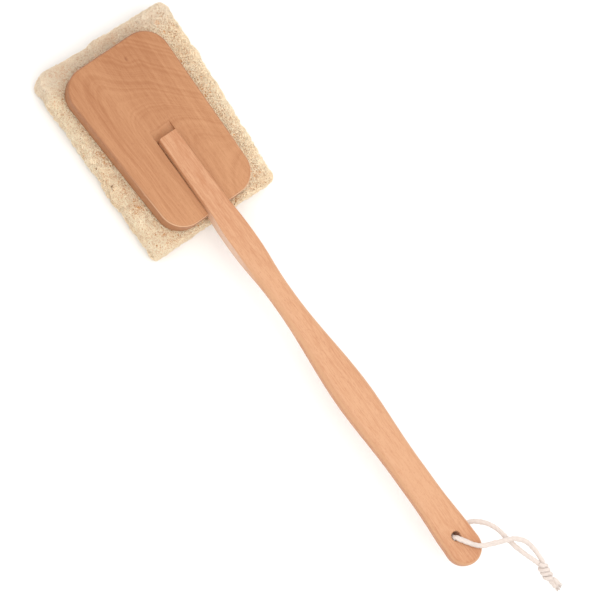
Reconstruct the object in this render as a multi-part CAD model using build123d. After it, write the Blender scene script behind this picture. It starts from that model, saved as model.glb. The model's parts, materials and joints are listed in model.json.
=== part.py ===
"""Long-handled back scrubber: a pressed luffa pad glued under a wooden paddle board, a wooden
handle let into a slot in the board's back, and a knotted cotton hanging cord through the grip.

Frame, in millimetres: the scrubbing face lies in the plane Z = 0 and the board's back faces up,
+Z. The origin is under the middle of the board, and +X runs along the handle to the grip's end.
"""
from build123d import *
from math import cos, radians, sin, sqrt
import os

# Luffa pad: a flattened gourd, cut by hand to four corners that aren't quite square to the handle
PAD_FAR_CORNERS = ((-78.4, -47.0), (-76.2, 62.8))
PAD_NEAR_CORNERS = ((69.0, 52.5), (68.5, -50.4))
PAD_THICKNESS = 20.0
PAD_FAR_ROUND = 9.0
PAD_NEAR_ROUND = 4.0
PAD_EDGE_ROUND = 3.5

ADHESIVE_THICKNESS = 0.6
ADHESIVE_MARGIN = 4.0

# Paddle board, tapering towards the handle
BOARD_LENGTH = 130.0
BOARD_FAR_WIDTH = 82.0
BOARD_NEAR_WIDTH = 73.0
BOARD_THICKNESS = 13.0
BOARD_CENTRE = (-0.5, 0.6)
BOARD_YAW = 0.8
BOARD_FAR_CORNER = 18.0
BOARD_NEAR_CORNER = 18.0
BOARD_TOP_ROUND = 1.6
BOARD_BOTTOM_ROUND = 1.0

# Slot for the handle, cut along X by a round cutter that runs out before the board's middle
SLOT_WIDTH = 16.6
SLOT_DEPTH = 6.0
CUTTER_RADIUS = 60.0
RUN_OUT_BEYOND_TIP = 8.0

# Handle: sections are rounded rectangles centred on one straight axis
HANDLE_TIP_X = 4.6
HANDLE_HEAD_THICKNESS = 11.0
TIP_CORNER_ROUND = 1.6
TIP_RELIEF_GAP = 0.3
GRIP_END_RADIUS = 12.8
GRIP_END_THICKNESS = 11.0
GRIP_END_ROUND = 4.0
# The handle's width, thickness and edge rounding, each as (distance along X, size) where it levels off
HANDLE_WIDTHS = (
    (HANDLE_TIP_X, 14.0),
    (65.0, 16.3),
    (76.0, 18.2),
    (92.0, 18.9),
    (106.0, 18.9),
    (134.0, 16.3),
    (143.0, 16.3),
    (222.0, 26.0),
    (278.0, 22.1),
    (302.0, 22.1),
    (346.0, 2 * GRIP_END_RADIUS),
)
HANDLE_THICKNESSES = (
    (92.0, HANDLE_HEAD_THICKNESS),
    (122.0, 12.2),
    (230.0, 12.2),
    (346.0, GRIP_END_THICKNESS),
)
HANDLE_ROUNDINGS = ((92.0, 1.2), (122.0, 5.4), (230.0, 5.2), (346.0, GRIP_END_ROUND))
HANDLE_SECTION_COUNT = 25

# Hanging hole near the grip's end
HOLE_X = 336.5
HOLE_Y = -1.2
HOLE_RADIUS = 3.25
HOLE_RIM_ROUND = 0.8

# Countersunk wood screws, driven from under the pad into the handle
SCREW_X = (32.0, 52.0)
SCREW_RADIUS = 1.7
SCREW_LENGTH = 16.0
SCREW_POINT_RADIUS = 0.2
SCREW_HEAD_RADIUS = 3.4
SCREW_HEAD_HEIGHT = 2.2
SCREW_RECESS_DEPTH = 1.3
SCREW_RECESS_WIDTH = 0.9
SCREW_RECESS_SPAN = 3.6
SHANK_GAP = 0.05
BOARD_HOLE_GAP = 0.2

# Cotton cord: one closed loop, in links that turn at the hole, at its crossing and at its knot.
# Points along it are (x, y, rise) from the hanging hole's centre, and yaws are in degrees from +X.
CORD_RADIUS = 1.6
CORD_BEND_RADIUS = 4.05
CORD_OVER_FACE = 0.35
CORD_SWELL = 0.3
LINK_GAP = 0.5
CROSSING_OFFSET = (25.0, 31.4)
CROSSING_RISE = 2.0
OVER_YAW = 12.0
OVER_END_YAW = 67.0
OVER_END_FALL = 0.25
UNDER_YAW = 96.0
UNDER_END_YAW = 2.0
UNDER_END_CLIMB = 0.1
UPPER_STRAND = ((29.3, 37.2, 1.8), (35.5, 40.8, 1.2), (43.6, 41.8, 0.5))
LOWER_STRAND = ((29.2, 32.2, -1.9), (35.4, 33.7, -1.2), (42.8, 35.9, -0.5))
KNOT_OFFSET = (54.0, 39.4)
KNOT_FRONT_RADIUS = 4.0
KNOT_BACK_RADIUS = 3.5
KNOT_LENGTH = 6.5
KNOT_YAW = -7.0
STRAND_SPREAD = 1.75
TAIL_LENGTH = 7.5
TAIL_SPREAD = 2.0
TAIL_YAW = 10.0

BOARD_BOTTOM = PAD_THICKNESS + ADHESIVE_THICKNESS
BOARD_TOP = BOARD_BOTTOM + BOARD_THICKNESS
SLOT_FLOOR = BOARD_TOP - SLOT_DEPTH
HANDLE_MID = SLOT_FLOOR + HANDLE_HEAD_THICKNESS / 2
CORD_LEVEL = GRIP_END_THICKNESS / 2 + CORD_OVER_FACE + CORD_RADIUS
OVER_POINTS = ((20.4, 20.4, 5.4), (14.6, 8.6, CORD_LEVEL))
UNDER_POINTS = ((-0.4, 17.0, -CORD_LEVEL), (4.4, 24.4, -6.2), (13.0, 29.6, -3.6))

# How far the cutting solids reach past the wood that they cut
MARGIN = 40.0
HOLE_MARGIN = 2.0


def four_sided_outline(far_corners, near_corners, far_round, near_round):
    """A four-sided outline, given in order around it, with its far (-X) and near corners rounded."""
    outline = make_face(Polyline(*far_corners, *near_corners, close=True))
    by_x = outline.vertices().sort_by(Axis.X)
    outline = fillet(by_x[:2], far_round)
    return fillet(outline.vertices().sort_by(Axis.X)[-2:], near_round)


def rounded_rims(solid, top_round, bottom_round):
    """Round the edges around a plate's top and bottom faces."""
    solid = fillet(solid.faces().sort_by(Axis.Z)[-1].edges(), top_round)
    return fillet(solid.faces().sort_by(Axis.Z)[0].edges(), bottom_round)


def board_place(height):
    """The board's place, with its underside or that of a layer below it at the given height."""
    return Pos(*BOARD_CENTRE, height) * Rot(0, 0, BOARD_YAW)


def board_outline(margin=0.0):
    """The board's plan, centred on its own middle, drawn in from its edge by the margin."""
    half_length = BOARD_LENGTH / 2 - margin
    half_far = BOARD_FAR_WIDTH / 2 - margin
    half_near = BOARD_NEAR_WIDTH / 2 - margin
    return four_sided_outline(
        ((-half_length, -half_far), (-half_length, half_far)),
        ((half_length, half_near), (half_length, -half_near)),
        BOARD_FAR_CORNER - margin,
        BOARD_NEAR_CORNER - margin,
    )


def run_out_length(floor_depth):
    """How far a cut's end sweeps up from its floor to the board's top."""
    return sqrt(2 * CUTTER_RADIUS * floor_depth - floor_depth**2)


def cutter_path():
    """The cutter's disc where it stopped, and the straight slot behind it."""
    stop_x = HANDLE_TIP_X - RUN_OUT_BEYOND_TIP + run_out_length(SLOT_DEPTH)
    disc = Pos(stop_x, 0, SLOT_FLOOR + CUTTER_RADIUS) * Rot(90, 0, 0) * Cylinder(CUTTER_RADIUS, SLOT_WIDTH)
    slot_end = BOARD_LENGTH / 2 + MARGIN
    slot = Pos(stop_x, 0, SLOT_FLOOR) * Box(
        slot_end - stop_x, SLOT_WIDTH, MARGIN, align=(Align.MIN, Align.CENTER, Align.MIN)
    )
    return stop_x, disc + slot


def screw_blank(gap):
    """A countersunk screw's outside, with the given extra radius, standing on the board's underside."""
    head = Cone(
        SCREW_HEAD_RADIUS + gap,
        SCREW_RADIUS + gap,
        SCREW_HEAD_HEIGHT,
        align=(Align.CENTER, Align.CENTER, Align.MIN),
    )
    shank_length = SCREW_LENGTH - SCREW_HEAD_HEIGHT - SCREW_RADIUS
    shank = Pos(0, 0, SCREW_HEAD_HEIGHT) * Cylinder(
        SCREW_RADIUS + gap, shank_length + gap, align=(Align.CENTER, Align.CENTER, Align.MIN)
    )
    point = Pos(0, 0, SCREW_HEAD_HEIGHT + shank_length + gap) * Cone(
        SCREW_RADIUS + gap, SCREW_POINT_RADIUS, SCREW_RADIUS, align=(Align.CENTER, Align.CENTER, Align.MIN)
    )
    return head + shank + point


def screw_places():
    return [Pos(x, 0, BOARD_BOTTOM) for x in SCREW_X]


def make_loofah_pad():
    outline = four_sided_outline(PAD_FAR_CORNERS, PAD_NEAR_CORNERS, PAD_FAR_ROUND, PAD_NEAR_ROUND)
    return rounded_rims(extrude(outline, PAD_THICKNESS), PAD_EDGE_ROUND, PAD_EDGE_ROUND)


def make_pad_adhesive():
    film = extrude(board_outline(ADHESIVE_MARGIN), ADHESIVE_THICKNESS)
    return board_place(PAD_THICKNESS) * film


def make_paddle_board():
    blank = rounded_rims(
        extrude(board_outline(), BOARD_THICKNESS), BOARD_TOP_ROUND, BOARD_BOTTOM_ROUND
    )
    board = board_place(BOARD_BOTTOM) * blank
    board -= cutter_path()[1]
    for place in screw_places():
        board -= place * screw_blank(BOARD_HOLE_GAP)
    return board


def level(stops, x):
    """The value at x between stops, easing out of one stop and into the next."""
    if x <= stops[0][0]:
        return stops[0][1]
    for (start_x, start), (end_x, end) in zip(stops, stops[1:]):
        if x <= end_x:
            part = (x - start_x) / (end_x - start_x)
            return start + (end - start) * part * part * (3 - 2 * part)
    return stops[-1][1]


def handle_section(x):
    """A rounded rectangle across the handle, centred on its axis."""
    across = Plane(origin=(x, 0, HANDLE_MID), x_dir=(0, 1, 0), z_dir=(1, 0, 0))
    return across * RectangleRounded(
        level(HANDLE_WIDTHS, x), level(HANDLE_THICKNESSES, x), level(HANDLE_ROUNDINGS, x)
    )


def grip_end():
    """The grip's round end: half a disc, its outer rim rounded like the grip's long edges."""
    disc = Cylinder(GRIP_END_RADIUS, GRIP_END_THICKNESS)
    disc = fillet(disc.edges().filter_by(GeomType.CIRCLE), GRIP_END_ROUND)
    keep = Box(
        2 * GRIP_END_RADIUS,
        4 * GRIP_END_RADIUS,
        2 * GRIP_END_THICKNESS,
        align=(Align.MIN, Align.CENTER, Align.CENTER),
    )
    return Pos(HANDLE_WIDTHS[-1][0], 0, HANDLE_MID) * (disc & keep)


def tip_mask():
    """A widening block that the part in the slot is trimmed to, which rounds its two tip corners."""
    half_tip = HANDLE_WIDTHS[0][1] / 2
    head_end_x = HANDLE_WIDTHS[1][0]
    outline = make_face(
        Polyline(
            (HANDLE_TIP_X, -half_tip),
            (head_end_x, -SLOT_WIDTH),
            (head_end_x, SLOT_WIDTH),
            (HANDLE_TIP_X, half_tip),
            close=True,
        )
    )
    outline = fillet(outline.vertices().group_by(Axis.X)[0], TIP_CORNER_ROUND)
    return extrude(outline, 2 * MARGIN)


def tip_relief(stop_x):
    """What the handle's tip loses underneath so that it clears the slot's swept-up end."""
    block = Pos(stop_x, 0, SLOT_FLOOR - MARGIN) * Box(
        MARGIN, 2 * SLOT_WIDTH, 2 * MARGIN, align=(Align.MAX, Align.CENTER, Align.MIN)
    )
    radius = CUTTER_RADIUS - TIP_RELIEF_GAP
    disc = Pos(stop_x, 0, SLOT_FLOOR + CUTTER_RADIUS) * Rot(90, 0, 0) * Cylinder(radius, 3 * SLOT_WIDTH)
    return block - disc


def hole_cutter():
    """The hanging hole with its rounded rims, as the solid that it removes."""
    top = GRIP_END_THICKNESS / 2
    flare = HOLE_RADIUS + HOLE_RIM_ROUND
    profile = make_face(
        [
            Line((0, 0), (HOLE_RADIUS, 0)),
            Line((HOLE_RADIUS, 0), (HOLE_RADIUS, top - HOLE_RIM_ROUND)),
            RadiusArc((HOLE_RADIUS, top - HOLE_RIM_ROUND), (flare, top), HOLE_RIM_ROUND),
            Line((flare, top), (flare, top + HOLE_MARGIN)),
            Line((flare, top + HOLE_MARGIN), (0, top + HOLE_MARGIN)),
            Line((0, top + HOLE_MARGIN), (0, 0)),
        ]
    )
    upper = revolve(Plane.XZ * profile, Axis.Z)
    return Pos(HOLE_X, HOLE_Y, HANDLE_MID) * (upper + mirror(upper, Plane.XY))


def make_handle():
    head_end_x = HANDLE_WIDTHS[1][0]
    grip_end_x = HANDLE_WIDTHS[-1][0]
    step = (grip_end_x - head_end_x) / (HANDLE_SECTION_COUNT - 1)
    in_slot = loft([handle_section(HANDLE_TIP_X), handle_section(head_end_x)])
    shaft = loft([handle_section(head_end_x + step * i) for i in range(HANDLE_SECTION_COUNT)])
    handle = (in_slot & tip_mask()) + shaft + grip_end()
    handle -= tip_relief(cutter_path()[0])
    for place in screw_places():
        handle -= place * screw_blank(SHANK_GAP)
    return handle - hole_cutter()


def make_handle_screws():
    """Both screws, each with a cross recess in its head."""
    blade = Pos(0, 0, SCREW_RECESS_DEPTH / 2) * Box(
        SCREW_RECESS_SPAN, SCREW_RECESS_WIDTH, SCREW_RECESS_DEPTH
    )
    screw = screw_blank(0) - blade - Rot(0, 0, 90) * blade
    return [place * screw for place in screw_places()]


def at_hole(x, y, rise):
    """A point from its offset to the hanging hole's centre."""
    return (HOLE_X + x, HOLE_Y + y, HANDLE_MID + rise)


def heading(yaw, distance=1.0):
    return (distance * cos(radians(yaw)), distance * sin(radians(yaw)))


def rope(path, radius=CORD_RADIUS):
    """A round cord along a smooth path."""
    return sweep((path ^ 0) * Circle(radius), path=path)


def bend_at_hole(yaw, side):
    """The cord's quarter turn from the hole to lie over the wood: its start, middle and end."""
    diagonal = CORD_BEND_RADIUS * (1 - sqrt(0.5))
    return (
        at_hole(0, 0, side * (CORD_LEVEL - CORD_BEND_RADIUS)),
        at_hole(*heading(yaw, diagonal), side * (CORD_LEVEL - diagonal)),
        at_hole(*heading(yaw, CORD_BEND_RADIUS), side * CORD_LEVEL),
    )


def short_of_crossing(yaw, side):
    """Where a strand of the upper loop stops, just before the crossing."""
    back = heading(yaw, CORD_RADIUS + LINK_GAP)
    x, y = CROSSING_OFFSET[0] - back[0], CROSSING_OFFSET[1] - back[1]
    return at_hole(x, y, side * CROSSING_RISE)


def make_cord_upper_loop():
    """From the crossing over the grip, down the hole, and back under the grip to the crossing."""
    over = bend_at_hole(OVER_YAW, 1)
    under = bend_at_hole(UNDER_YAW, -1)
    over_start = heading(OVER_END_YAW, -1)
    over_finish = heading(OVER_YAW, -1)
    over_line = Spline(
        [short_of_crossing(OVER_END_YAW, 1), *(at_hole(*point) for point in OVER_POINTS), over[2]],
        tangents=[(*over_start, OVER_END_FALL), (*over_finish, 0)],
    )
    under_line = Spline(
        [under[2], *(at_hole(*point) for point in UNDER_POINTS), short_of_crossing(UNDER_END_YAW, -1)],
        tangents=[(*heading(UNDER_YAW), 0), (*heading(UNDER_END_YAW), UNDER_END_CLIMB)],
    )
    path = Wire(
        [
            over_line.edge(),
            ThreePointArc(over[2], over[1], over[0]).edge(),
            Line(over[0], under[0]).edge(),
            ThreePointArc(*under).edge(),
            under_line.edge(),
        ]
    )
    return rope(path)


def strand_to_knot(points, side):
    """One strand of the lower loop, with a ball at the crossing that the loop turns about."""
    start = at_hole(*CROSSING_OFFSET, side * CROSSING_RISE)
    knot_face = KNOT_OFFSET[0] - KNOT_FRONT_RADIUS - LINK_GAP
    end = at_hole(knot_face, KNOT_OFFSET[1] + side * STRAND_SPREAD, 0)
    path = Spline([start, *(at_hole(*point) for point in points), end])
    return rope(path) + Pos(*start) * Sphere(CORD_RADIUS + CORD_SWELL)


def make_cord_lower_loop():
    return [strand_to_knot(UPPER_STRAND, 1), strand_to_knot(LOWER_STRAND, -1)]


def make_cord_knot():
    """The knot that closes the loop, with the cord's two short tails."""
    back_step = heading(KNOT_YAW, KNOT_LENGTH)
    front = at_hole(*KNOT_OFFSET, 0)
    back = at_hole(KNOT_OFFSET[0] + back_step[0], KNOT_OFFSET[1] + back_step[1], 0)
    barrel = Plane(origin=front, z_dir=(*back_step, 0)) * Cone(
        KNOT_FRONT_RADIUS, KNOT_BACK_RADIUS, KNOT_LENGTH, align=(Align.CENTER, Align.CENTER, Align.MIN)
    )
    knot = Pos(*front) * Sphere(KNOT_FRONT_RADIUS) + Pos(*back) * Sphere(KNOT_BACK_RADIUS) + barrel
    along = heading(TAIL_YAW)
    for side in (-1, 1):
        across = (-side * along[1], side * along[0])
        end = (
            back[0] + (KNOT_BACK_RADIUS + TAIL_LENGTH) * along[0] + TAIL_SPREAD * across[0],
            back[1] + (KNOT_BACK_RADIUS + TAIL_LENGTH) * along[1] + TAIL_SPREAD * across[1],
            back[2],
        )
        knot += rope(Line(back, end))
    return knot


NODES = {
    "loofah_pad": make_loofah_pad,
    "pad_adhesive": make_pad_adhesive,
    "paddle_board": make_paddle_board,
    "handle": make_handle,
    "handle_screws": make_handle_screws,
    "cord_upper_loop": make_cord_upper_loop,
    "cord_lower_loop": make_cord_lower_loop,
    "cord_knot": make_cord_knot,
}


def main():
    os.makedirs("parts", exist_ok=True)
    for name, make in NODES.items():
        shape = make()
        if isinstance(shape, list):
            shape = Compound(children=[Compound(part.wrapped) for part in shape])
        export_step(shape, f"parts/{name}.step")


main()
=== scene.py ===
import json
from math import cos, pi, radians, sin

import bpy
import numpy as np
from mathutils import Matrix, Vector
from mathutils.kdtree import KDTree


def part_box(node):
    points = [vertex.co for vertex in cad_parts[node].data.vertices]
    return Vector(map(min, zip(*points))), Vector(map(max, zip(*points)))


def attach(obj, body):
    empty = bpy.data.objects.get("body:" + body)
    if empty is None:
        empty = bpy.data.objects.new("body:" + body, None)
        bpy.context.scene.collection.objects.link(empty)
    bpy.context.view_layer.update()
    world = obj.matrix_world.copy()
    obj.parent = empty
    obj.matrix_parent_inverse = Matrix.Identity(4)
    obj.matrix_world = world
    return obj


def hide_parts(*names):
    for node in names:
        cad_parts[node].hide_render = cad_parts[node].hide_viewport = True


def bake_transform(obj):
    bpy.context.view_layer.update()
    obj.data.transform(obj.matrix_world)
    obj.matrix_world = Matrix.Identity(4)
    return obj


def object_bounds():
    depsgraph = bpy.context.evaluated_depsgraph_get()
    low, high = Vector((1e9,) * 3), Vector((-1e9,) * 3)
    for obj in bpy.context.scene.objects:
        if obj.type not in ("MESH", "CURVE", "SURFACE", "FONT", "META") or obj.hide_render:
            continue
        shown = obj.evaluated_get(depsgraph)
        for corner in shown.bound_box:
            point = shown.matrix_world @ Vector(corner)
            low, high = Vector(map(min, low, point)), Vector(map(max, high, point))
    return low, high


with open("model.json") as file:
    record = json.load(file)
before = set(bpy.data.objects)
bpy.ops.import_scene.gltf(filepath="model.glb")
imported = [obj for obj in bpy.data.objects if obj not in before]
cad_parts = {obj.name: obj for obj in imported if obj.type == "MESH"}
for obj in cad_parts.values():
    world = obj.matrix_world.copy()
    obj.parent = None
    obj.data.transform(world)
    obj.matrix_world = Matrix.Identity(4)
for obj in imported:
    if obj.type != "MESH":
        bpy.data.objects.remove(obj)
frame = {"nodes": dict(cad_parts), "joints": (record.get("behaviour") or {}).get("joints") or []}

MM = 0.001
CAD_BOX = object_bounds()
SEED = 11

# Beech, for shaders, which measure in millimetres
BOARD_SLOT_HALF_WIDTH = 8.4  # just over half the slot's width
HANDLE_SLOT_HALF_WIDTH = 9.0  # just over half the handle's width in the slot
BEYOND_TIP = 16.0  # from the handle's tip to wood that is well past the slot's end
NECK = (55.0, 75.0, 95.0, 125.0)  # where the painted sheen on the handle's sides fades in and out along X
GRIP = (290.0, 390.0)  # where the handle grows darker along X
WOOD_NOISE = {  # scale along X, Y and Z, offset, detail and roughness
    "wander": ((0.009, 0.022, 0.022), (0, 0, 0), 1.0, 0.5),
    "waver": ((0.03, 0.07, 0.07), (5, 1, 8), 2.0, 0.5),
    "broad": ((0.008, 0.05, 0.05), (3, 9, 2), 3.0, 0.5),
    "streaks": ((0.012, 0.45, 0.45), (0, 0, 0), 4.0, 0.65),
    "flecks": ((0.45, 1.9, 1.9), (7, 3, 5), 2.0, 0.5),
}
FINE_GRAIN_ALONG = 0.10
# pale wood colour, painted light that lifts the shade in the handle's slot
SLOT_LIGHT_COLOUR = (243, 194, 150)
NECK_SHEEN_COLOUR = (232, 208, 188)

# Luffa pad
SIDE_ROUND = 6.5 * MM
END_ROUND = 3.5 * MM
FAR_CORNER = 8.5 * MM
NEAR_CORNER = 4.0 * MM
PUCKER_PITCH = 9.5 * MM
PUCKER_DEPTH = 1.1 * MM
PUCKER_REACH = 9.0 * MM
PUCKER_WANDER = 1.3  # radians by which the puckers stray from their even pitch
PUCKER_VARIETY = 0.4
LEFT_PUCKER = 0.55  # the left side's puckers, as a share of the right side's
SIDE_SWELL = 1.3 * MM
LUMP_HEIGHT = 0.35 * MM
LUMP_REACH = 18 * MM
ROLL_WIDTH = 16 * MM
CORE_DEPTH = 1.05 * MM
CORE_GRID = 1.0 * MM
CORE_ROUGHNESS = 0.15 * MM
PIT_TRIES = 26000
PIT_DEPTH = 0.2 * MM
PIT_GAP = 1.65 * MM
PIT_RADIUS = 0.5 * MM
SPOT_DENSITY = 0.85  # of the painted pit-shade spots in the fibre, per millimetre
SPOT_EDGE = (0.5, 0.2)  # from a spot's centre to where it starts and is full, over the pitch
ROLL_DROP = (0.6, 2.6)  # below the pad's top, where the roll starts and is steep
ROLL_OUT = (5.0, 15.0)  # from the middle line to the rolled side, for the same
ROLLED_OVER = 2 * MM  # how far in from the right side pits are smallest
FLATTENING = 6 * MM  # and how much farther in they are full size
PIT_SHADE_BROWN = (222, 170, 122)
CUT_FIBRE_AND_LIGHT = (238, 222, 204)
CUT_END = (24, 8)  # where the pale far end, cut fibre and painted light, starts and is full, in millimetres from the far side
LOOSE_SHARE = 0.06  # of the fibres, which stand up by LOOSE_RISE
LOOSE_RISE = 0.5 * MM
FIBRE_STEP = 0.9 * MM
FIBRE_STEPS = 14
FIBRE_SIDES = 3
FIBRE_SIZES = (0.65, 1.25)  # shares of a net's radius
FIBRE_WEAVE = 0.2 * MM
FIBRE_BEAT = (0.5, 1.1)  # radians of weave per step
FIBRE_TURN_KEPT = 0.6  # of each step's turn, in the next step's
FIBRE_HEIGHT = 0.1 * MM  # of the highest fibres above the skin
FIBRE_CEILING = 0.45 * MM  # above the pad's box
UNDER_BOARD = 7.0 * MM  # inside the board's outline, where the pad's top needs no fibres

# Cotton cord
CORD_RADIUS = 1.75 * MM
CORD_PLIES = 4
PLY_RADIUS = 1.18 * MM
PLY_SIDES = 12
CORD_LAY = 15.0 * MM  # one full turn of the plies
REACH_WOBBLE = 0.12  # of the plies' distance from the cord's middle
PLY_WOBBLE = 0.06  # of their radius
RING_STEP = 0.45 * MM
HAIR_RADIUS = 0.035 * MM
HAIR_SIDES = 3
HAIR_POINTS = 6
HAIR_ROOT = 0.92  # where hairs start, as a share of the cord's radius
HAIR_CURL = 90.0  # back towards the cord, per metre
FRAY_COUNT = 46
FRAY_RADIUS = 0.16 * MM
FRAY_SIDES = 5
FRAY_ROOT = 1.15 * MM  # the fray's radius where it starts
FRAY_SPREAD = 0.75 * MM
FRAY_START = 1.2 * MM  # how far inside the cord's cut end its fray starts
CUT_FLARE = (0.7, 3.5 * MM)  # how much the plies part at a cut end, and from how far before it
CUT_FADE = (0.55, 2.5 * MM)  # how much thinner they get, and from how far before it
KNOT_HEADING = radians(-7)  # from the X axis, as the next two are
TAIL_HEADING = radians(10)
CROSSING_HEADING = radians(35)
CROSSING_REACH = 5 * MM  # to each side of the crossing
KNOT_REACH = (8 * MM, 3 * MM)  # two distances before the knot's centre
KNOT_CORE = 1.1  # radius of the strands that run through the knot
KNOT_BARREL = 2.5  # radius of the strands wound round it
KNOT_WRAP = (8.0, -0.8)  # where the winding starts and ends along the knot
KNOT_THINNING = 0.14  # of the cord in the knot
CORE_THINNING = 0.3  # more, where it runs through the knot's core
HOLE_BEND = 4.05  # radius of the cord's bend over the hole's rim
HOLE_LEVEL = 7.45  # the cord's height from the hole's centre where it lies on the wood
SPLIT_AT = 39.0  # from the hole's centre, where the loop's pieces end and the knot's begin
OVER_STRAND = (  # from the hole's centre, towards the knot
    (14.6, 8.6, 7.45), (20.4, 20.4, 5.4), (25.0, 31.4, 2.0),
    (29.3, 37.2, 1.8), (35.5, 40.8, 1.2), (43.6, 41.8, 0.5),
)
UNDER_STRAND = (
    (-0.4, 17.0, -7.45), (4.4, 24.4, -6.2), (13.0, 29.6, -3.6), (25.0, 31.4, -2.0),
    (29.2, 32.2, -1.9), (35.4, 33.7, -1.2), (42.8, 35.9, -0.5),
)

# Studio
PHOTO_SCALE = 0.674 * MM  # per pixel
PHOTO_WIDTH = 600
CAMERA_TARGET = Vector((0.14694, 0.00869, 0.034))  # seen in the middle of the picture
CAMERA_DISTANCE = 1.5
CAMERA_TILT = radians(70.0)
CAMERA_ROLL = radians(54.155)
SENSOR_WIDTH = 36.0
FLOOR_SIZE = 8
AIR_COLOUR = (1.0, 0.985, 0.97, 1)
AIR_STRENGTH = 0.96
LAMPS = {  # place, size, power and colour
    "key": ((0.24, -0.13, 0.62), 0.8, 2.5, (1.0, 0.985, 0.96)),
    "side": ((0.95, 0.75, 0.6), 0.7, 2.0, (1.0, 0.985, 0.96)),
    "left": ((0.1, -0.95, 0.75), 0.7, 0.3, (1.0, 0.985, 0.98)),
    "far": ((-0.7, 0.55, 0.6), 0.7, 1.2, (1.0, 0.985, 1.0)),
}


def joint_centre(name):
    """Where a joint is at rest."""
    return np.array(next(j["pos_m"] for j in frame["joints"] if j["name"] == name))


HOLE = joint_centre("cord_swing")
CROSSING = joint_centre("cord_bend")
KNOT = joint_centre("knot_flop")


# ---------------------------------------------------------------- shader building


def paint(red, green, blue):
    """A linear colour from display values of 0 to 255."""
    def linear(value):
        value /= 255
        return value / 12.92 if value <= 0.04045 else ((value + 0.055) / 1.055) ** 2.4
    return (linear(red), linear(green), linear(blue), 1.0)


class Shader:
    """A material's node tree. Each call adds a node and returns its output socket."""

    def __init__(self, name):
        self.material = bpy.data.materials.new(name)
        self.material.use_nodes = True
        self.tree = self.material.node_tree
        self.surface = self.tree.nodes["Principled BSDF"]

    def add(self, kind, inputs, output=0, **settings):
        node = self.tree.nodes.new("ShaderNode" + kind)
        for name, value in settings.items():
            setattr(node, name, value)
        self.feed(node, inputs)
        return node.outputs[output]

    def feed(self, node, inputs):
        for key, value in inputs.items():
            if isinstance(value, bpy.types.NodeSocket):
                self.tree.links.new(value, node.inputs[key])
            else:
                node.inputs[key].default_value = value

    def place(self, scale=(1, 1, 1), offset=(0, 0, 0)):
        """The point in millimetres in the object's frame, then scaled per axis."""
        point = self.add("TexCoord", {}, output="Object")
        return self.stretch(point, [1000 * value for value in scale], offset)

    def stretch(self, point, scale, offset=(0, 0, 0)):
        return self.add("Mapping", {"Vector": point, "Scale": scale, "Location": offset})

    def noise(self, point, detail=2.0, roughness=0.5):
        inputs = {"Vector": point, "Scale": 1.0, "Detail": detail, "Roughness": roughness}
        return self.add("TexNoise", inputs)

    def math(self, operation, *values):
        return self.add("Math", dict(enumerate(values)), operation=operation)

    def plus(self, first, second):
        return self.math("ADD", first, second)

    def minus(self, first, second):
        return self.math("SUBTRACT", first, second)

    def times(self, first, second):
        return self.math("MULTIPLY", first, second)

    def axes(self, vector):
        return [self.add("SeparateXYZ", {"Vector": vector}, output=axis) for axis in "XYZ"]

    def between(self, value, low, high, start=0.0, end=1.0):
        """Value mapped smoothly from low..high to start..end, and held beyond them."""
        inputs = {"Value": value, "From Min": low, "From Max": high, "To Min": start, "To Max": end}
        return self.add("MapRange", inputs, interpolation_type="SMOOTHSTEP")

    def mix(self, factor, first, second):
        return self.add("Mix", {0: factor, 6: first, 7: second}, output=2, data_type="RGBA")

    def bump(self, height, distance, strength=1.0):
        return self.add("Bump", {"Height": height, "Distance": distance, "Strength": strength})

    def finish(self, **inputs):
        self.feed(self.surface, {name.replace("_", " "): value for name, value in inputs.items()})
        return self.material


# ---------------------------------------------------------------- materials


def wood_noise(shader, name):
    """One of the wood's own noises."""
    scale, offset, detail, roughness = WOOD_NOISE[name]
    return shader.noise(shader.place(scale, offset), detail=detail, roughness=roughness)


def log_radius(shader, x, y, z, log):
    """Distance from the log's centre line, less its taper, wavering slowly as real rings do."""
    centre_y, centre_z, slant, taper = log
    y = shader.minus(shader.minus(y, centre_y), shader.times(x, slant))
    z = shader.minus(z, centre_z)
    squares = shader.plus(shader.times(y, y), shader.times(z, z))
    radius = shader.minus(shader.math("SQRT", squares), shader.times(x, taper))
    for kind, reach in (("wander", 30.0), ("waver", 5.0)):
        radius = shader.plus(radius, shader.times(wood_noise(shader, kind), reach))
    return radius


def knot_distance(shader, point, spot):
    """Distance from a small knot, which is twice as long along the grain as across it."""
    centred = shader.add("VectorMath", {0: point, 1: (-spot[0], -spot[1], 0)}, operation="ADD")
    flat = shader.add("VectorMath", {0: centred, 1: (0.5, 1, 0)}, operation="MULTIPLY")
    return shader.add("VectorMath", {0: flat}, output="Value", operation="LENGTH")


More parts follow.
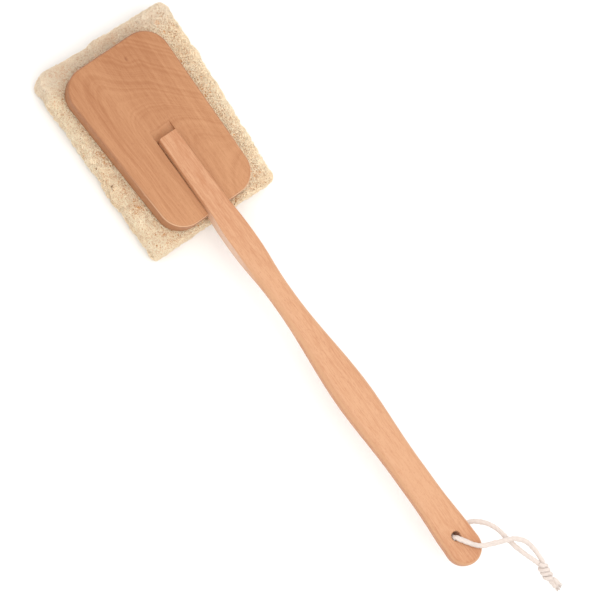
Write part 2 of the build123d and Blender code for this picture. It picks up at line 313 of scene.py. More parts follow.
def wood(name, colours, log, paler, slot, ring_pitch, ring_depth, fleck_depth, side_shade, slot_light,
         grain, gloss=0.3, pin_knot=None, held=False):
    """Beech from a tapering log. colours are its early wood, late wood, pores, which also give the
    painted shade on upright faces, and its rims, which are lighter from wear and a painted
    highlight.
    log is the ring centre's (y, z) at x = 0, how fast the log's centre line leaves the X axis, and
    its taper: together they set where the grain arches. paler is where the wood starts and ends
    growing lighter along X: painted light, brighter where more light falls. slot is the joint's
    half
    width, its two ends along X and its top: side_shade is painted shade on upright faces outside
    it, and slot_light is painted light on the wood in it, lifting the slot's shade. grain is the
    fine streaks' number per millimetre, and their palest and darkest tone. pin_knot is the (x, y)
    of a small knot that the rings swirl round. Held wood has a painted sheen on the upright faces
    of its neck and is darker at its grip."""
    shader = Shader(name)
    light, dark, pore_and_shade, edge = (paint(*colour) for colour in colours)
    point = shader.place()
    x, y, z = shader.axes(point)
    radius = log_radius(shader, x, y, z, log)
    if pin_knot:
        reach = knot_distance(shader, point, pin_knot)
        radius = shader.plus(radius, shader.between(reach, 9.0, 0.0, 0.0, 3.0))
    ring_place = shader.add("CombineXYZ", {"X": shader.math("DIVIDE", radius, ring_pitch)})
    late_wood = shader.between(shader.noise(ring_place, detail=2.0, roughness=0.6), 0.3, 0.7)
    broad, streaks, flecks = (wood_noise(shader, kind) for kind in ("broad", "streaks", "flecks"))
    fine_place = shader.place((FINE_GRAIN_ALONG, grain[0], grain[0]))
    fine = shader.noise(fine_place, detail=3.0, roughness=0.65)

    tone = shader.times(late_wood, ring_depth)
    tone = shader.plus(tone, shader.between(broad, 0.3, 0.7, 0.0, 0.34))
    tone = shader.plus(tone, shader.between(streaks, 0.3, 0.7, 0.0, 0.32))
    tone = shader.plus(tone, shader.between(fine, 0.35, 0.65, *grain[1:]))
    # Painted light: the wood grows lighter along X, brighter where more light falls on it.
    tone = shader.minus(tone, shader.between(x, *paler, -0.1, 0.4))
    if held:
        tone = shader.plus(tone, shader.between(x, *GRIP, 0.0, 0.9))
    colour = shader.mix(tone, light, dark)
    colour = shader.mix(shader.between(flecks, 0.54, 0.70, 0.0, fleck_depth), colour, pore_and_shade)
    if pin_knot:
        colour = shader.mix(shader.between(reach, 1.3, 0.2, 0.0, 0.6), colour, pore_and_shade)

    half_width, start, end, top = slot
    outside = shader.between(shader.math("ABSOLUTE", y), half_width, half_width + 0.4)
    outside = shader.math("MAXIMUM", outside, shader.between(x, start + 1, start))
    facing_up = shader.axes(shader.add("NewGeometry", {}, output="Normal"))[2]
    level = shader.math("ABSOLUTE", facing_up)
    # Painted shade: upright faces and rounded rims outside the slot are mixed towards the pore
    # colour.
    shaded = shader.times(shader.between(level, 0.995, 0.75, 0.0, side_shade), outside)
    colour = shader.mix(shaded, colour, pore_and_shade)
    if held:
        fade_in, full, full_end, fade_out = NECK
        neck = shader.times(shader.between(x, fade_in, full), shader.between(x, fade_out, full_end))
        # Painted sheen: the neck's upright faces are mixed towards a whitish colour, standing in
        # for light reflected from the pale floor.
        neck_sheen = shader.times(shader.between(level, 0.6, 0.2, 0.0, 0.45), neck)
        colour = shader.mix(neck_sheen, colour, paint(*NECK_SHEEN_COLOUR))
    # Painted light: wood sunk in the slot is mixed towards a pale colour, lifting the shade in the
    # narrow slot.
    sunk = shader.times(shader.between(z, top - 0.1, top - 0.9), shader.between(x, end, end - 2))
    cut = shader.times(sunk, shader.between(outside, 1.0, 0.0, 0.0, slot_light))
    colour = shader.mix(cut, colour, paint(*SLOT_LIGHT_COLOUR))
    # Wear and a painted highlight: the rounded rims take the rim colour, more strongly towards +X.
    rim = shader.times(shader.between(level, 0.88, 0.7), shader.between(level, 0.2, 0.5))
    wear_and_highlight = shader.times(rim, shader.between(x, sum(paler) / 2, paler[1], 0.05, 0.7))
    colour = shader.mix(wear_and_highlight, colour, edge)

    height = shader.plus(shader.times(fine, 0.7), shader.times(streaks, 0.3))
    return shader.finish(Base_Color=colour, Roughness=shader.between(fine, 0.3, 0.7, 0.42, 0.56),
                         Normal=shader.bump(height, 0.10 * MM, 0.5), Specular_IOR_Level=gloss)


def board_wood():
    """Broad arches and a small knot, with painted shade on its upright sides."""
    low, high = (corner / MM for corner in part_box("paddle_board"))
    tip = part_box("handle")[0].x / MM
    colours = (190, 139, 100), (165, 111, 74), (134, 80, 51), (222, 182, 146)
    return wood("board_beech", colours, log=(10.0, high.z - 18.0, 0.54, 0.5),
                paler=(low.x, high.x), ring_pitch=3.2, ring_depth=0.44, fleck_depth=0.2,
                slot=(BOARD_SLOT_HALF_WIDTH, tip - BEYOND_TIP, high.x - 1.0, high.z),
                side_shade=0.42, slot_light=0.13, grain=(2.2, -0.1, 0.16),
                pin_knot=(low.x + 12.5, 8.8))


def handle_wood():
    """Straight streaks, a painted sheen on the neck's sides, and darker at the grip."""
    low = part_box("handle")[0] / MM
    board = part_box("paddle_board")[1] / MM
    colours = (201, 152, 115), (184, 128, 90), (156, 90, 57), (202, 155, 117)
    return wood("handle_beech", colours, log=(low.y - 22.0, low.z - 30.0, 0.0, 0.02),
                paler=(low.x, low.x + 130), ring_pitch=4.0, ring_depth=0.4, fleck_depth=0.25,
                slot=(HANDLE_SLOT_HALF_WIDTH, low.x + 1.5, board.x - 1.0, board.z),
                side_shade=0.2, slot_light=0.9, grain=(1.2, -0.26, 0.36), gloss=0.45, held=True)


def luffa(name, light, dark, fibre_scale, pit_shade_share=0.0):
    """Dry plant fibre with a hair-fine grain, paler towards the far end, where it was cut and where
    painted light lifts the board's shadow. pit_shade_share is how much painted shade browns the net
    in small spots that stand for its shaded pits. The spots are fainter on the rolled side."""
    shader = Shader(name)
    low, high = (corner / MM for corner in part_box("loofah_pad"))
    x, y, z = shader.axes(shader.place())
    island = shader.add("NewGeometry", {}, output="Random Per Island")
    patch = shader.noise(shader.place((0.05, 0.05, 0.05)), detail=3.0)
    grain = shader.noise(shader.place((fibre_scale,) * 3), detail=3.0, roughness=0.7)
    tone = shader.plus(shader.times(island, 0.55), shader.between(patch, 0.3, 0.7, 0.0, 0.45))
    tone = shader.plus(tone, shader.between(grain, 0.35, 0.65, -0.15, 0.2))
    colour = shader.mix(tone, light, dark)
    spots = shader.add("TexVoronoi", {"Vector": shader.place(), "Scale": SPOT_DENSITY,
                                      "Randomness": 0.9}, output="Distance")
    rolled = shader.times(shader.between(z, *(high.z - drop for drop in ROLL_DROP)),
                          shader.between(y, *ROLL_OUT))
    # Painted shade: brown spots stand for the shaded pits, fainter on the rolled side.
    pit_shade = shader.times(shader.between(spots, *SPOT_EDGE, 0.0, pit_shade_share),
                       shader.between(rolled, 1.0, 0.0, 0.4, 1.0))
    colour = shader.mix(pit_shade, colour, paint(*PIT_SHADE_BROWN))
    # Paler far end: the cut fibre's own colour and painted light that lifts the board's shadow
    # there.
    cut = shader.between(x, low.x + CUT_END[0], low.x + CUT_END[1], 0.0, 0.45)
    colour = shader.mix(cut, colour, paint(*CUT_FIBRE_AND_LIGHT))
    return shader.finish(Base_Color=colour, Roughness=0.82, Specular_IOR_Level=0.15,
                         Normal=shader.bump(grain, 0.15 * MM, 0.7),
                         Sheen_Weight=0.15, Sheen_Roughness=0.5)


def cotton():
    """Loose cotton yarn. The pieces' UV runs once round a ply and along it in millimetres."""
    shader = Shader("cotton_yarn")
    uv = shader.add("UVMap", {}, uv_map="ply")
    yarn = shader.noise(shader.stretch(uv, (9.0, 0.35, 1.0)), detail=3.0, roughness=0.7)
    haze = shader.noise(shader.place((1.4, 1.4, 1.4)), detail=4.0, roughness=0.7)
    tone = shader.plus(shader.between(yarn, 0.3, 0.7, 0.0, 0.55),
                       shader.between(haze, 0.35, 0.65, 0.0, 0.35))
    colour = shader.mix(tone, paint(219, 208, 201), paint(210, 198, 190))
    normal = shader.bump(shader.plus(yarn, haze), 0.14 * MM, 0.8)
    return shader.finish(Base_Color=colour, Roughness=0.9, Normal=normal, Specular_IOR_Level=0.1,
                         Sheen_Weight=0.4, Sheen_Roughness=0.4)


def glue():
    """Amber contact glue, lumpy where it soaked into the fibres."""
    shader = Shader("pad_glue")
    lumps = shader.noise(shader.place((0.4, 0.4, 0.4)), detail=3.0)
    colour = shader.mix(lumps, paint(196, 160, 112), paint(150, 112, 70))
    return shader.finish(Base_Color=colour, Roughness=shader.between(lumps, 0.3, 0.7, 0.3, 0.6),
                         Normal=shader.bump(lumps, 0.2 * MM))


def screw_steel():
    """Zinc-plated steel with fine turning marks."""
    shader = Shader("zinc_steel")
    marks = shader.noise(shader.place((6, 6, 22)), detail=3.0)
    dull = shader.noise(shader.place((0.5, 0.5, 0.5)), detail=2.0)
    colour = shader.mix(dull, paint(206, 206, 202), paint(168, 168, 166))
    return shader.finish(Base_Color=colour, Metallic=1.0, Normal=shader.bump(marks, 0.03 * MM),
                         Roughness=shader.between(marks, 0.3, 0.7, 0.24, 0.42))


def floor_paint():
    """Matt, nearly white and faintly mottled."""
    shader = Shader("studio_floor")
    mottle = shader.noise(shader.place((0.02, 0.02, 0.02)), detail=2.0)
    colour = shader.mix(mottle, (0.93, 0.93, 0.93, 1), (0.95, 0.95, 0.95, 1))
    return shader.finish(Base_Color=colour, Roughness=0.9, Specular_IOR_Level=0.0)


# ---------------------------------------------------------------- meshes


def make_object(name, vertices, faces, material):
    """A mesh object whose four-sided faces are smooth and whose end caps are flat."""
    mesh = bpy.data.meshes.new(name)
    mesh.from_pydata(vertices, [], faces)
    mesh.polygons.foreach_set("use_smooth", [len(face) == 4 for face in faces])
    mesh.materials.append(material)
    piece = bpy.data.objects.new(name, mesh)
    bpy.context.scene.collection.objects.link(piece)
    return piece


def unit(vectors):
    """The vectors at a length of one."""
    return vectors / np.maximum(np.linalg.norm(vectors, axis=-1, keepdims=True), 1e-12)


def flattened(vectors, normals):
    """Each vector without its part along its normal."""
    return vectors - normals * (vectors * normals).sum(-1, keepdims=True)


def turned(first, second, angles):
    """Directions at angles from first towards second."""
    return first * np.cos(angles)[:, None] + second * np.sin(angles)[:, None]


def tube_mesh(paths, radii, upright, sides, part=slice(None)):
    """Capped tubes round many paths of equal length: paths is (tube, point, 3), and upright is a
    direction at each point that is never along its path. part is the stretch of points to keep."""
    along = unit(np.gradient(paths, axis=1))
    aside = unit(np.cross(along, upright))
    up = np.cross(aside, along)
    angles = 2 * pi * np.arange(sides) / sides
    ring = aside[:, :, None] * np.cos(angles)[:, None] + up[:, :, None] * np.sin(angles)[:, None]
    points = (paths[:, :, None, :] + ring * radii[:, :, None, None])[:, part]
    tubes, steps = points.shape[:2]
    index = np.arange(tubes * steps * sides).reshape(tubes, steps, sides)
    after = np.roll(index, -1, axis=2)
    walls = np.stack([index[:, :-1], index[:, 1:], after[:, 1:], after[:, :-1]], axis=-1)
    caps = np.concatenate([index[:, 0], index[:, -1, ::-1]])
    return points.reshape(-1, 3), walls.reshape(-1, 4).tolist() + caps.tolist()


# ---------------------------------------------------------------- luffa pad


def pad_sides():
    """The pad's four upright sides as (outward direction, distance) from its CAD solid:
    far, near, left and right."""
    areas = {}
    mesh = frame["nodes"]["loofah_pad"].data
    for face in mesh.polygons:
        if abs(face.normal.z) < 0.01:
            key = round(np.degrees(np.arctan2(face.normal.y, face.normal.x)))
            total = areas[key][0] if key in areas else 0.0
            areas[key] = (total + face.area, face)
    flats = sorted(areas.values(), key=lambda entry: -entry[0])[:4]
    planes = [(np.array(face.normal[:2]), face.normal.dot(face.center)) for _, face in flats]
    far, near = (sorted(planes, key=lambda plane: plane[0][0])[i] for i in (0, -1))
    left, right = (sorted(planes, key=lambda plane: plane[0][1])[i] for i in (0, -1))
    return far, near, left, right


PAD_SIDES = pad_sides()
PAD_LOW, PAD_HIGH = (np.array(corner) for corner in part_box("loofah_pad"))
PAD_SIZE = PAD_HIGH - PAD_LOW
PAD_MIDDLE = (PAD_HIGH + PAD_LOW) / 2


def random_waves(seed, wavelength, count=14):
    """A smooth random field over space, of about unit size, as a function of points."""
    rng = np.random.default_rng(seed)
    directions = unit(rng.normal(size=(count, 3))) * 2 * pi / wavelength
    directions *= rng.uniform(0.6, 1.5, (count, 1))
    phases = rng.uniform(0, 2 * pi, count)
    return lambda points: np.sin(points @ directions.T + phases).sum(-1) * (2 / count) ** 0.5


LUMPS = random_waves(SEED, 22 * MM)
PUCKER_SHIFT = random_waves(SEED + 1, 30 * MM)
PITS = random_waves(SEED + 2, 3.4 * MM, 30)
FOLDS = random_waves(SEED + 3, 12 * MM)


def smooth(value):
    """A value held to 0..1 and eased at both ends."""
    value = np.clip(value, 0, 1)
    return value * value * (3 - 2 * value)


def pad_distance(points):
    """Distance outside the pad's skin, negative inside: a four-sided slab with rolled long sides,
    puckered across like the gourd's ribs."""
    plan = points[:, :2]
    far, near, left, right = (plan @ side[0] - side[1] for side in PAD_SIDES)
    ends = np.maximum(far, near)
    sides = np.maximum(left, right)
    along = points[:, 0]
    bulge = 1 - ((along - PAD_MIDDLE[0]) / (PAD_SIZE[0] / 2)) ** 2
    sides = sides - SIDE_SWELL * np.clip(bulge, 0, 1) * (right > left)
    to_far = smooth((PAD_HIGH[0] - along) / PAD_SIZE[0])
    corner = NEAR_CORNER + (FAR_CORNER - NEAR_CORNER) * to_far
    outline = np.hypot(np.maximum(ends + corner, 0), np.maximum(sides + corner, 0)) - corner
    outline += np.minimum(np.maximum(ends, sides) + corner, 0)
    rolled = smooth(0.5 + (sides - ends) / ROLL_WIDTH)
    edge = END_ROUND + (SIDE_ROUND - END_ROUND) * rolled
    height = np.abs(points[:, 2] - PAD_MIDDLE[2]) - PAD_SIZE[2] / 2
    skin = np.hypot(np.maximum(outline + edge, 0), np.maximum(height + edge, 0)) - edge
    skin += np.minimum(np.maximum(outline, height) + edge, 0)
    ribs = np.abs(np.sin(pi * along / PUCKER_PITCH + PUCKER_WANDER * PUCKER_SHIFT(points)))
    depth = PUCKER_DEPTH * np.where(right > left, 1.0, LEFT_PUCKER)
    depth = depth * (1 + PUCKER_VARIETY * FOLDS(points))
    skin += depth * (1 - ribs) ** 1.5 * smooth(1 + sides / PUCKER_REACH) * rolled
    return skin + LUMP_HEIGHT * LUMPS(points) * smooth(1 + np.maximum(sides, ends) / LUMP_REACH)


def pad_outward(points):
    """The skin's outward direction at each point."""
    steps = np.eye(3) * 0.25 * MM
    rises = [pad_distance(points + step) - pad_distance(points - step) for step in steps]
    return unit(np.stack(rises, axis=-1))


def onto_skin(points, depth, rounds=3):
    """Points moved along the outward direction until they are at the given depth under the skin."""
    for _ in range(rounds):
        outward = pad_outward(points)
        points = points - outward * (pad_distance(points) + depth)[:, None]
    return points, outward


def box_grid(low, high, spacing):
    """The six faces of a box as one welded mesh of squares."""
    sizes = high - low
    counts = np.maximum(np.ceil(sizes / spacing).astype(int), 2)
    points, faces, known = [], [], {}

    def vertex(key):
        if key not in known:
            known[key] = len(points)
            points.append(low + sizes * np.array(key) / counts)
        return known[key]

    for axis in range(3):
        first, second = [other for other in range(3) if other != axis]
        for end in (0, counts[axis]):
            flip = (end == 0) != (axis == 1)
            for i in range(counts[first]):
                for j in range(counts[second]):
                    corners = []
                    for di, dj in ((0, 0), (1, 0), (1, 1), (0, 1)):
                        key = [0, 0, 0]
                        key[axis], key[first], key[second] = end, i + di, j + dj
                        corners.append(vertex(tuple(int(k) for k in key)))
                    faces.append(corners[::-1] if flip else corners)
    return np.array(points), faces


def luffa_core(material):
    """The dense inside of the pad, seen through the net of fibres."""
    points, faces = box_grid(PAD_LOW, PAD_HIGH, CORE_GRID)
    points, outward = onto_skin(points, CORE_DEPTH, rounds=4)
    points += outward * (CORE_ROUGHNESS * PITS(points) + CORE_ROUGHNESS * FOLDS(points))[:, None]
    return make_object("luffa_core", points, faces, material)


def skin_starts(rng, count):
    """Random points spread evenly over the pad's box."""
    length, width, height = PAD_SIZE
    points = rng.uniform(size=(count, 3)) * PAD_SIZE + PAD_LOW
    areas = np.array([width * height, length * height, length * width])
    axis = rng.choice(3, count, p=areas / areas.sum())
    end = np.where(rng.uniform(size=count) < 0.5, PAD_LOW[axis], PAD_HIGH[axis])
    points[np.arange(count), axis] = end
    return points


def pit_tree():
    """Evenly scattered pits in the skin, between the fibres, as a tree to search."""
    starts = skin_starts(np.random.default_rng(SEED + 5), PIT_TRIES)
    spots, _ = onto_skin(starts, PIT_DEPTH)

    def tree_of(points):
        tree = KDTree(len(points))
        for index, point in enumerate(points):
            tree.insert(point, index)
        tree.balance()
        return tree

    crowd = tree_of(spots)
    alone = np.ones(len(spots), bool)
    for index, spot in enumerate(spots):
        if alone[index]:
            for _, other, _ in crowd.find_range(spot, PIT_GAP):
                alone[other] = other == index
    return tree_of(spots[alone])


def round_pits(points, outward, tree):
    """Points moved sideways out of the pits, which shrink towards the rolled right side."""
    spots = np.array([tree.find(point)[0] for point in points])
    level = flattened(points - spots, outward)
    gap = np.linalg.norm(level, axis=-1)
    flat = smooth((right_gap(points) - ROLLED_OVER) / FLATTENING)
    size = PIT_RADIUS * (0.3 + 0.7 * flat)
    push = np.maximum(size - gap, 0)
    return points + unit(level) * push[:, None]


def under_board(points):
    """Whether each point lies well under the board, where nobody sees the pad."""
    low, high = (np.array(corner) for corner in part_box("paddle_board"))
    inside = (points[:, 0] > low[0] + UNDER_BOARD) & (points[:, 0] < high[0] - UNDER_BOARD)
    inside &= (points[:, 1] > low[1] + UNDER_BOARD) & (points[:, 1] < high[1] - UNDER_BOARD)
    return inside & (points[:, 2] > PAD_HIGH[2] - END_ROUND)


def fibre_net(name, pits, seed, count, radius, depth, keep, heading, wander, material):
    """Fibres that wander over the skin, dipping under and over each other, down to a depth. keep
    says which starting points are used, and heading gives each fibre's first direction there."""
    rng = np.random.default_rng(seed)
    starts = skin_starts(rng, count)
    starts = starts[keep(starts) & ~under_board(starts)]
    number = len(starts)
    depth = rng.uniform(-FIBRE_HEIGHT, depth, number)
    depth -= LOOSE_RISE * (rng.uniform(size=number) < LOOSE_SHARE)
    phase = rng.uniform(0, 2 * pi, number)
    beat = rng.uniform(*FIBRE_BEAT, number)
    turn = rng.normal(0, wander, number)
    point, outward = onto_skin(starts, depth)
    direction = heading(rng, point, outward)
    path, uprights = [point], [outward]
    for step in range(FIBRE_STEPS):
        turn = FIBRE_TURN_KEPT * turn + rng.normal(0, wander, number)
        direction = unit(flattened(direction, outward))
        direction = unit(turned(direction, np.cross(outward, direction), turn))
        wave = depth + FIBRE_WEAVE * np.sin(phase + beat * step)
        point, outward = onto_skin(point + direction * FIBRE_STEP, wave, rounds=1)
        path.append(point)
        uprights.append(outward)
    paths, uprights = np.stack(path, axis=1), np.stack(uprights, axis=1)
    paths = round_pits(paths.reshape(-1, 3), uprights.reshape(-1, 3), pits).reshape(paths.shape)
    thickness = radius * rng.uniform(*FIBRE_SIZES, number)
    from_start = np.arange(FIBRE_STEPS + 1)
    taper = smooth(np.minimum(from_start, from_start[::-1]) / 1.5 + 0.3)
    radii = thickness[:, None] * taper
    ceiling = PAD_HIGH[2] + FIBRE_CEILING - radii
    paths[:, :, 2] = np.clip(paths[:, :, 2], PAD_LOW[2] + radii, ceiling)
    vertices, faces = tube_mesh(paths, radii, uprights, FIBRE_SIDES)
    return make_object(name, vertices, faces, material)


def any_way(rng, points, outward):
    """Along the skin in any direction."""
    return unit(np.cross(outward, rng.normal(size=points.shape)))


def around_side(rng, points, outward):
    """Across a long side's roll, from the top towards the bottom."""
    along = np.zeros_like(points)
    along[:, 0] = 1
    along += rng.normal(0, 0.3, points.shape)
    return unit(np.cross(outward, along))


def right_gap(points):
    """How far inside the pad's right side each point is."""
    facing, distance = PAD_SIDES[3]
    return distance - points[:, :2] @ facing


def in_top(points):
    return points[:, 2] > PAD_HIGH[2] - 0.1 * MM


def in_bottom(points):
    return points[:, 2] < PAD_LOW[2] + 0.1 * MM


def in_walls(points):
    return ~in_top(points) & ~in_bottom(points)


def in_roll(points):
    return right_gap(points) < 7 * MM


def in_far_half(points):
    return points[:, 0] < PAD_MIDDLE[0]


def in_near_half(points):
    return ~in_far_half(points)


NETS = {  # where fibres start, how many, their radius and greatest depth, their way and its wander
    "top": (in_top, 21000, 0.17 * MM, 0.5 * MM, any_way, 0.42),
    "bottom": (in_bottom, 11000, 0.20 * MM, 0.6 * MM, any_way, 0.42),
    "walls": (in_walls, 18000, 0.17 * MM, 0.5 * MM, any_way, 0.42),
    "rolls": (in_roll, 15000, 0.15 * MM, 0.4 * MM, around_side, 0.18),
}


def loofah_pad(core_material, fibre_material):
    """The core and the nets of fibres, each net in two halves, in place of the CAD slab."""
    pits = pit_tree()
    pieces = [luffa_core(core_material)]
    seed = SEED + 10
    for region, (inside, count, radius, depth, heading, wander) in NETS.items():
        for half, in_half in (("far", in_far_half), ("near", in_near_half)):
            pieces.append(fibre_net(
                f"luffa_net_{region}_{half}", pits, seed, count, radius, depth,
                lambda points: inside(points) & in_half(points), heading, wander, fibre_material,
            ))
            seed += 1
    for piece in pieces:
        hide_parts("loofah_pad")
        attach(piece, "brush")


# ---------------------------------------------------------------- cotton cord


UP = np.array([0.0, 0.0, 1.0])


def level_way(heading):
    """The level direction at an angle from the X axis."""
    return np.array([cos(heading), sin(heading), 0])


def at_hole(x, y, rise):
    """A point from its offset in millimetres to the hanging hole's centre."""
    return HOLE + np.array([x, y, rise]) * MM


def smooth_path(points, step):
    """An evenly stepped curve through the points."""
    points = np.array(points)
    ends = np.vstack([2 * points[0] - points[1], points, 2 * points[-1] - points[-2]])
    dense = []
    for a, b, c, d in zip(ends, ends[1:], ends[2:], ends[3:]):
        t = np.linspace(0, 1, 24, endpoint=False)[:, None]
        dense.append(0.5 * (2 * b + (c - a) * t + (2 * a - 5 * b + 4 * c - d) * t**2
                            + (3 * b - a - 3 * c + d) * t**3))
    dense = np.vstack(dense + [points[-1:]])
    travel = np.concatenate([[0], np.cumsum(np.linalg.norm(np.diff(dense, axis=0), axis=1))])
    even = np.linspace(0, travel[-1], int(travel[-1] / step))
    return np.stack([np.interp(even, travel, dense[:, axis]) for axis in range(3)], axis=-1)


def steady_uprights(path):
    """A direction across the path at each point that never spins about it."""
    along = unit(np.gradient(path, axis=0))
    upright = unit(np.cross(along[0], (0.3, 0.2, 1.0)))
    uprights = []
    for direction in along:
        upright = unit(upright - direction * (upright @ direction))
        uprights.append(upright)
    return along, np.array(uprights)


def hole_bend(heading, side, lean):
    """The cord's points from the middle of the hole out over the wood on one side, leaning on the
    hole's wall by lean (x, y) millimetres as it leaves."""
    lean = np.array(lean)
    points = [at_hole(*0.8 * lean, side * 1.5)]
    for turn in (0, 30, 60, 90):
        out = HOLE_BEND * (1 - cos(radians(turn)))
        rise = HOLE_LEVEL - HOLE_BEND + HOLE_BEND * sin(radians(turn))
        x, y = out * level_way(heading)[:2] + lean * (1 - (turn / 90) ** 2)
        points.append(at_hole(x, y, side * rise))
    return points


def knot_frame():
    """The knot's own axes: along the cord, across it, and up."""
    along = level_way(KNOT_HEADING)
    return along, np.cross(UP, along), UP


def in_knot(length, radius, angle):
    """A point from its distance along the knot and its radius and angle about the knot's axis."""
    along, across, up = knot_frame()
    turn = radians(angle)
    return KNOT + MM * (length * along + radius * (cos(turn) * across + sin(turn) * up))


def knot_path(start_angle):
    """One strand through an overhand knot tied in both: in along the core, back round the outside,
    and out along the core again."""
    points = [in_knot(-4.3, 1.75, start_angle), in_knot(-1.5, 1.35, start_angle + 25)]
    points += [in_knot(length, KNOT_CORE, start_angle + 45) for length in (1.5, 4.5)]
    points += [in_knot(8.6, 1.5, start_angle + 55), in_knot(9.0, 2.6, start_angle + 85)]
    for length, turn in zip(np.linspace(*KNOT_WRAP, 18), np.linspace(120, 630, 18)):
        points.append(in_knot(length, KNOT_BARREL, start_angle + turn))
    points += [in_knot(-2.4, 2.2, start_angle + 660), in_knot(-1.7, 1.3, start_angle + 680)]
    points += [in_knot(length, KNOT_CORE, start_angle + 675) for length in (2.0, 6.0)]
    return points


def tail_path(side):
    """The tail's points after the knot, spreading a little to its side."""
    along = level_way(TAIL_HEADING)
    across = np.cross(UP, along)
    start = in_knot(6.5, 0, 0)
    return [start + MM * (length * along + side * (spread * across + rise * UP))
            for length, spread, rise in ((4.2, 1.1, 0.3), (7.5, 1.2, 0.5), (10.5, 1.5, 0.2))]


def cord_path():
    """The whole cord: tail, knot, under the grip, up through the hole, over it, knot and tail."""
    over = hole_bend(radians(12), 1, lean=(0.1, -1.4))
    over += [at_hole(*place) for place in OVER_STRAND]
    under = hole_bend(radians(96), -1, lean=(0, 0))
    under += [at_hole(*place) for place in UNDER_STRAND]
    over += knot_path(0) + tail_path(1)
    under += knot_path(180) + tail_path(-1)
    return smooth_path(under[::-1] + [at_hole(0, -0.5, 0)] + over, RING_STEP)


def cord_thickness(path):
    """The cord's size along its path, pulled thin inside the knot and thinnest in its core."""
    along, across, up = knot_frame()
    lengths = (path - KNOT) @ along / MM
    off_axis = np.hypot((path - KNOT) @ across, (path - KNOT) @ up) / MM
    in_barrel = smooth((lengths + 4) / 3) * smooth((11 - lengths) / 2)
    core = smooth((2.6 - off_axis) / 0.8)
    return 1 - in_barrel * (KNOT_THINNING + CORE_THINNING * core)


def ply_mesh(path, first, last, material, name):
    """The cord's plies between two of the path's points, twisted round each other."""
    along, upright = steady_uprights(path)
    aside = np.cross(along, upright)
    size = cord_thickness(path)
    travel = np.arange(len(path)) * RING_STEP
    to_end = np.minimum(travel, travel[::-1])
    flare = 1 + CUT_FLARE[0] * smooth(1 - to_end / CUT_FLARE[1])
    fade = 1 - CUT_FADE[0] * smooth(1 - to_end / CUT_FADE[1])
    wobble = random_waves(SEED + 20, 9 * MM)
    vertices, normals, faces, uvs = [], [], [], []
    part = slice(first, last)
    for ply in range(CORD_PLIES):
        turn = 2 * pi * (travel / CORD_LAY + ply / CORD_PLIES)
        reach = (CORD_RADIUS - PLY_RADIUS) * size * flare
        reach = reach * (1 + REACH_WOBBLE * wobble(path + ply))
        centre = path + turned(upright, aside, turn) * reach[:, None]
        radii = PLY_RADIUS * size * fade * (1 + PLY_WOBBLE * wobble(path * 2 + 3 * ply))
        _, ply_upright = steady_uprights(centre)
        points, quads = tube_mesh(centre[None], radii[None], ply_upright[None], PLY_SIDES, part)
        faces += [[index + len(vertices) for index in quad] for quad in quads]
        vertices += points.tolist()
        normals += (points - np.repeat(centre[part], PLY_SIDES, axis=0)).tolist()
        ring = np.tile(np.arange(PLY_SIDES) / PLY_SIDES, last - first)
        uvs += np.stack([ring + ply, np.repeat(travel[part] / MM, PLY_SIDES)], axis=-1).tolist()
    piece = make_object(name, vertices, faces, material)
    piece.data.normals_split_custom_set_from_vertices(unit(np.array(normals)))
    layer = piece.data.uv_layers.new(name="ply")
    for loop, corner in zip(piece.data.loops, layer.data):
        corner.uv = uvs[loop.vertex_index]
    return piece


def stalks(name, steps, uprights, radius, tip, sides, material):
    """Thin tubes. Each step holds every tube's next point, and they taper to a share of radius."""
    paths = np.stack(steps, axis=1)
    radii = np.full(paths.shape[:2], radius) * np.linspace(1, tip, len(steps))
    uprights = np.repeat(uprights[:, None], len(steps), axis=1)
    vertices, faces = tube_mesh(paths, radii, uprights, sides)
    return make_object(name, vertices, faces, material)


def hair_mesh(name, path, first, last, count, length, lift, seed, material):
    """Loose hairs that stand off the cord between two of its path's points."""
    rng = np.random.default_rng(seed)
    along, upright = steady_uprights(path)
    aside = np.cross(along, upright)
    at = rng.integers(first, last, count)
    outward = turned(upright[at], aside[at], rng.uniform(0, 2 * pi, count))
    root = HAIR_ROOT * CORD_RADIUS * cord_thickness(path)[at][:, None]
    sideways = np.cross(along[at], outward)
    forward = along[at] * rng.choice((-1, 1), (count, 1))
    heading = unit(forward + sideways * rng.normal(0, 0.7, (count, 1)))
    reach = length * rng.uniform(0.5, 1.2, (count, 1))
    points = []
    for share in np.linspace(0, 1, HAIR_POINTS):
        rise = root + lift * np.sin(0.62 * pi * share) * rng.uniform(0.9, 1.1, (count, 1))
        travel = reach * share
        points.append(path[at] + outward * (rise - HAIR_CURL * travel**2) + heading * travel)
    return stalks(name, points, outward + 0.01, HAIR_RADIUS, 0.4, HAIR_SIDES, material)


def fray_mesh(name, path, material, seed):
    """The brushes of loose fibres at the cord's two cut ends."""
    rng = np.random.default_rng(seed)
    brushes, uprights = [], []
    for tip, before in ((path[-1], path[-8]), (path[0], path[7])):
        out = unit(tip - before)
        spread = rng.normal(size=(FRAY_COUNT, 3))
        spread = unit(spread - out * (spread @ out)[:, None])
        spread *= rng.uniform(0, 1, (FRAY_COUNT, 1)) ** 0.5
        reach = rng.uniform(0.8, 2.6, (FRAY_COUNT, 1)) * MM + FRAY_START
        base = tip - out * FRAY_START + spread * FRAY_ROOT
        brushes.append([base + out * reach * share + spread * FRAY_SPREAD * share**2
                        for share in np.linspace(0, 1, HAIR_POINTS)])
        uprights.append(np.cross(spread, out))
    steps = [np.vstack(step) for step in zip(*brushes)]
    return stalks(name, steps, np.vstack(uprights), FRAY_RADIUS, 0.45, FRAY_SIDES, material)


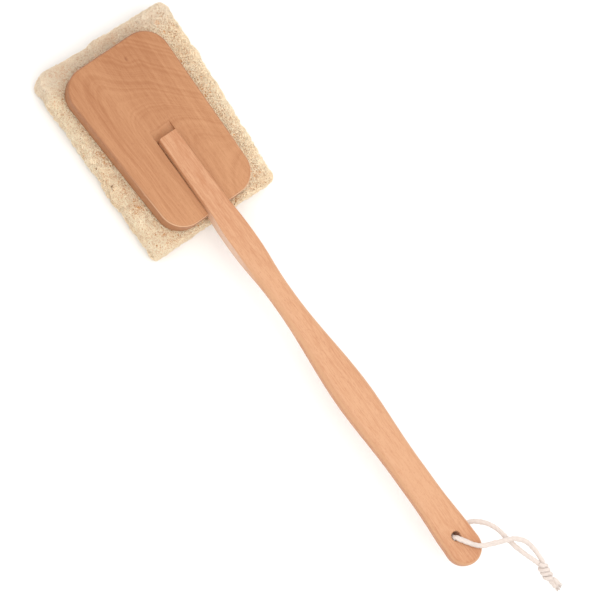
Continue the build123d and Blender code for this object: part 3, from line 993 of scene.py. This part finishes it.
def hanging_cord(material):
    """The cord in place of its three CAD links: the loop's pieces, and the pieces beyond them
    that go into the knot and its tails."""
    path = cord_path()
    hole_index = int(np.argmin(np.linalg.norm(path - HOLE, axis=1)))
    split = at_hole(SPLIT_AT, 0, 0)[0]
    under = next(i for i in range(hole_index, 0, -1) if path[i][0] > split)
    over = next(i for i in range(hole_index, len(path)) if path[i][0] > split)
    loop = [
        ply_mesh(path, under, over + 1, material, "cord_loop_plies"),
        hair_mesh("cord_loop_hairs", path, under, over, count=420, length=3.2 * MM,
                  lift=0.45 * MM, seed=SEED + 30, material=material),
    ]
    ends = [
        ply_mesh(path, 0, under + 1, material, "cord_knot_under_strand"),
        ply_mesh(path, over, len(path), material, "cord_knot_over_strand"),
        fray_mesh("cord_frayed_tails", path, material, SEED + 31),
        hair_mesh("cord_knot_hairs", path, 0, under, count=160, length=2.2 * MM,
                  lift=0.4 * MM, seed=SEED + 32, material=material),
    ]
    through = level_way(CROSSING_HEADING) * CROSSING_REACH
    into_knot, _, _ = knot_frame()
    ride_between(loop, ("cord_upper_loop", "cord_lower_loop"), ("cord_upper", "cord_lower"),
                 CROSSING - through, CROSSING + through)
    ride_between(ends, ("cord_knot",), ("cord_lower", "cord_end"),
                 *(KNOT - reach * into_knot for reach in KNOT_REACH))


def ride_between(pieces, nodes, bodies, start, end):
    """Pieces in place of CAD nodes: the nodes are hidden and each piece's transform is baked.
    bodies, start and end are not used.
    """
    for piece in pieces:
        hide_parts(*nodes)
        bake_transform(piece)


# ---------------------------------------------------------------- studio


def studio():
    """A plain pale floor under the part, pale air and soft lamps."""
    low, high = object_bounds()
    middle = (low + high) / 2
    floor_place = (middle.x, middle.y, CAD_BOX[0].z)
    bpy.ops.mesh.primitive_plane_add(size=FLOOR_SIZE, location=floor_place)
    floor = bpy.context.object
    floor.name = "floor"
    floor.data.materials.append(floor_paint())
    scene = bpy.context.scene
    scene.world = bpy.data.worlds.new("studio_air")
    scene.world.use_nodes = True
    air = scene.world.node_tree.nodes["Background"]
    air.inputs["Color"].default_value = AIR_COLOUR
    air.inputs["Strength"].default_value = AIR_STRENGTH
    scene.view_settings.view_transform = "Standard"
    for name, (place, size, power, colour) in LAMPS.items():
        area_light(name, Vector(place), middle, size, power, colour)


def area_light(name, place, target, size, power, colour):
    """A square lamp that faces its target."""
    lamp = bpy.data.lights.new(name, "AREA")
    lamp.size = size
    lamp.energy = power
    lamp.color = colour
    light = bpy.data.objects.new(name, lamp)
    light.location = place
    light.rotation_euler = (target - place).to_track_quat("-Z", "Y").to_euler()
    bpy.context.scene.collection.objects.link(light)


def camera():
    """The photograph's view: from the board's side, steeply down, with the camera rolled."""
    back = Vector((0, -cos(CAMERA_TILT), sin(CAMERA_TILT)))
    level = Vector((1, 0, 0))
    above = Vector((0, sin(CAMERA_TILT), cos(CAMERA_TILT)))
    right = cos(CAMERA_ROLL) * level + sin(CAMERA_ROLL) * above
    up = cos(CAMERA_ROLL) * above - sin(CAMERA_ROLL) * level
    turn = Matrix((right, up, back)).transposed().to_4x4()
    lens = bpy.data.cameras.new("camera")
    lens.sensor_width = SENSOR_WIDTH
    lens.lens = CAMERA_DISTANCE / PHOTO_SCALE / PHOTO_WIDTH * SENSOR_WIDTH
    eye = bpy.data.objects.new("camera", lens)
    eye.matrix_world = Matrix.Translation(CAMERA_TARGET + CAMERA_DISTANCE * back) @ turn
    bpy.context.scene.collection.objects.link(eye)
    bpy.context.scene.camera = eye


def paint_node(node, material):
    """Give a CAD node's object its material, over all its slots."""
    mesh = frame["nodes"][node].data
    mesh.materials.clear()
    mesh.materials.append(material)


paint_node("paddle_board", board_wood())
paint_node("handle", handle_wood())
paint_node("pad_adhesive", glue())
paint_node("handle_screws", screw_steel())
loofah_pad(
    # The core is browner than the net: painted shade at the bottoms of the pits.
    luffa("luffa_core", paint(234, 186, 134), paint(214, 164, 114), 1.2),
    luffa("luffa_fibre", paint(255, 244, 219), paint(255, 233, 199), 2.2, pit_shade_share=0.5),
)
hanging_cord(cotton())
studio()
camera()
